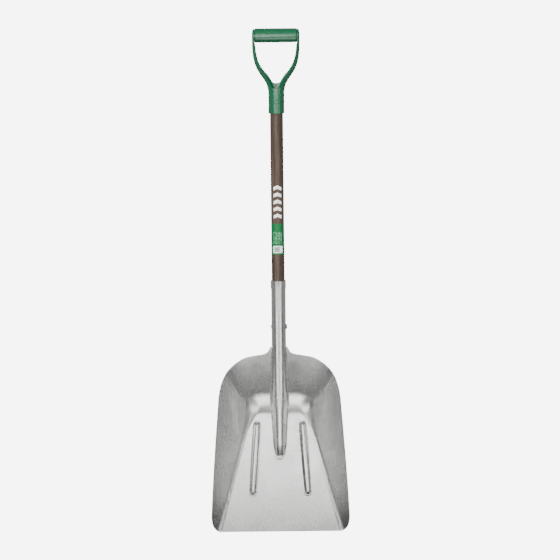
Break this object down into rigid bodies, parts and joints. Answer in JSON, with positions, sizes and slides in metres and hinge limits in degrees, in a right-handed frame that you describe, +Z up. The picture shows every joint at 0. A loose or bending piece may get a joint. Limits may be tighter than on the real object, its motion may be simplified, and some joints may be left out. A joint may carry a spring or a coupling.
{
  "type": "grain scoop shovel",
  "caption": "Long-handled scoop shovel with a deep pressed metal pan, rolled socket, wooden shaft and D-shaped grip.",
  "frame": {"origin": "the middle of the grip bar's underside, where the upright shovel hangs from a hook", "axes": "+Z up the shaft's axis to the grip, -Y is the side the pan opens to, X across the lip"},
  "size_m": [0.3416, 0.1248, 1.2314],
  "materials": {
    "blade_aluminium": "pressed mill-finish sheet, satin with faint drawing streaks",
    "shaft_wood": "dark stained hardwood, satin",
    "rivet_steel": "hammered, dull",
    "yoke_paint": "glossy green enamel",
    "bar_plastic": "glossy moulded green",
    "pin_steel": "peened flush and painted over",
    "yoke_rivet_paint": "painted over with the yoke",
    "label_film": "printed film",
    "white_print": "screen-printed ink"
  },
  "bodies": {
    "root": {"scoop_blade": "blade_aluminium", "shaft": "shaft_wood", "socket_rivet": "rivet_steel", "grip_yoke": "yoke_paint", "grip_bar": "bar_plastic", "bar_pin": "pin_steel", "yoke_rivet": "yoke_rivet_paint", "label_wrap": "label_film", "printed_marks": "white_print"}
  },
  "joints": []
}
